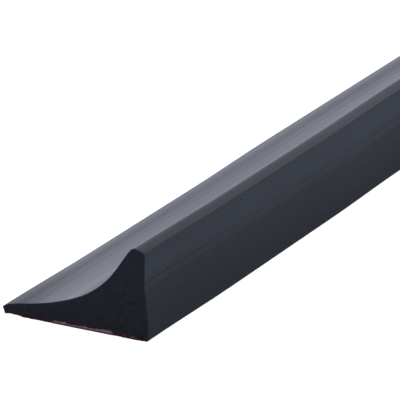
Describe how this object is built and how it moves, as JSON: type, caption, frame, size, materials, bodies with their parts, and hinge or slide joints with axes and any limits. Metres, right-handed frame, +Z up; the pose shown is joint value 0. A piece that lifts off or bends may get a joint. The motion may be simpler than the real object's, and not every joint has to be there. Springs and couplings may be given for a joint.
{
  "type": "self-adhesive rubber ramp strip",
  "caption": "Rubber strip with a concave ramp face, a narrow crest and an upright back, on foam tape with a release liner.",
  "frame": {"origin": "centre of the strip's box in plan, at the height of the release liner's outer face, where the strip rests", "axes": "+X across the strip from the thin toe to the upright back, +Y along its length away from the end that faces the viewer, +Z up"},
  "size_m": [0.0346, 0.5, 0.02],
  "materials": {
    "extruded_rubber": "matt extruded black rubber with faint lines along its length",
    "tape_foam": "fine closed-cell black foam",
    "adhesive": "tacky clear adhesive, tinted by the liner behind it",
    "liner_film": "glossy dark red release film"
  },
  "bodies": {
    "strip": {"rubber_ramp_strip": "extruded_rubber", "tape_upper_adhesive": "adhesive", "tape_foam_core": "tape_foam", "tape_lower_adhesive": "adhesive"},
    "liner": {"release_liner": "liner_film"}
  },
  "joints": [
    {"name": "liner_pull", "type": "slide", "parent": "strip", "child": "liner", "axis": [0, -1, 0], "range_m": [0, 0.51]}
  ]
}
